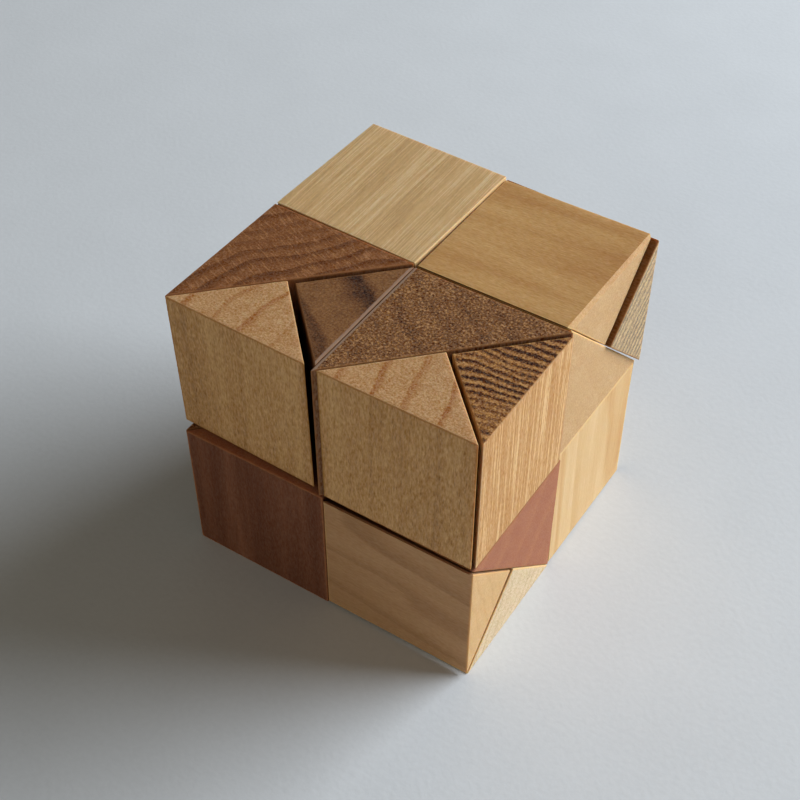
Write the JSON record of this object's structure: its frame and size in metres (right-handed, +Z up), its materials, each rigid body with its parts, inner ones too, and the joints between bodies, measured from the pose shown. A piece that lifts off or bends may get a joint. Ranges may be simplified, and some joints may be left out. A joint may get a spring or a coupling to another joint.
{
  "type": "wooden cube puzzle",
  "caption": "Interlocking wooden cube puzzle whose glued prism pieces hook into each other by triangular tongues and slide apart.",
  "frame": {"origin": "on the surface that the cube stands on, under the middle of its bounding box at rest", "axes": "+X along the front from its left piece to its right piece, +Y from the front to the back, +Z up"},
  "size_m": [0.0514, 0.0514, 0.0501],
  "materials": {
    "maple": "sanded, unvarnished",
    "birch": "sanded, unvarnished",
    "beech": "sanded, unvarnished",
    "cherry": "sanded, unvarnished",
    "walnut": "sanded, unvarnished",
    "dark_walnut": "sanded, unvarnished",
    "oak": "sanded, unvarnished",
    "ash": "sanded, unvarnished",
    "elm": "sanded, unvarnished",
    "pine": "sanded, unvarnished"
  },
  "bodies": {
    "upper_front_right": {"upper_front_right_half": "walnut", "upper_front_right_quarter": "maple", "upper_front_right_tongue": "dark_walnut"},
    "upper_front_left": {"upper_front_left_half": "beech", "upper_front_left_quarter": "maple", "upper_front_left_tongue": "dark_walnut"},
    "upper_back_left": {"upper_back_left_half": "ash", "upper_back_left_quarter": "beech", "upper_back_left_tongue": "elm"},
    "upper_back_right": {"upper_back_right_half": "birch", "upper_back_right_quarter": "birch", "upper_back_right_tongue": "pine"},
    "lower_back_right": {"lower_back_right_half": "walnut", "lower_back_right_quarter": "ash", "lower_back_right_tongue": "cherry"},
    "lower_back_left": {"lower_back_left_half": "maple", "lower_back_left_quarter": "cherry", "lower_back_left_tongue": "pine"},
    "lower_front_left": {"lower_front_left_half": "cherry", "lower_front_left_quarter": "walnut", "lower_front_left_tongue": "maple"},
    "lower_front_right": {"lower_front_right_half": "cherry", "lower_front_right_quarter": "ash", "lower_front_right_tongue": "oak"}
  },
  "joints": [
    {"name": "upper_front_right_slide", "type": "slide", "parent": "lower_back_right", "child": "upper_front_right", "axis": [-0.006, 0.004, 1], "range_m": [0, 0.03]},
    {"name": "upper_front_left_slide", "type": "slide", "parent": "lower_back_right", "child": "upper_front_left", "axis": [-0.9999, 0.014, -0.004], "range_m": [0, 0.03]},
    {"name": "upper_back_left_slide", "type": "slide", "parent": "lower_back_right", "child": "upper_back_left", "axis": [0.02, 0.9998, 0.008], "range_m": [0, 0.03]},
    {"name": "upper_back_right_slide", "type": "slide", "parent": "lower_back_right", "child": "upper_back_right", "axis": [0.9999, 0, 0.014], "range_m": [0, 0.03]},
    {"name": "lower_back_left_slide", "type": "slide", "parent": "lower_back_right", "child": "lower_back_left", "axis": [-0.7071, 0.7071, 0], "range_m": [0, 0.03]},
    {"name": "lower_front_left_slide", "type": "slide", "parent": "lower_back_right", "child": "lower_front_left", "axis": [0.02, -0.9998, 0], "range_m": [0, 0.03]},
    {"name": "lower_front_right_slide", "type": "slide", "parent": "lower_back_right", "child": "lower_front_right", "axis": [1, 0.006, 0], "range_m": [0, 0.03]}
  ]
}
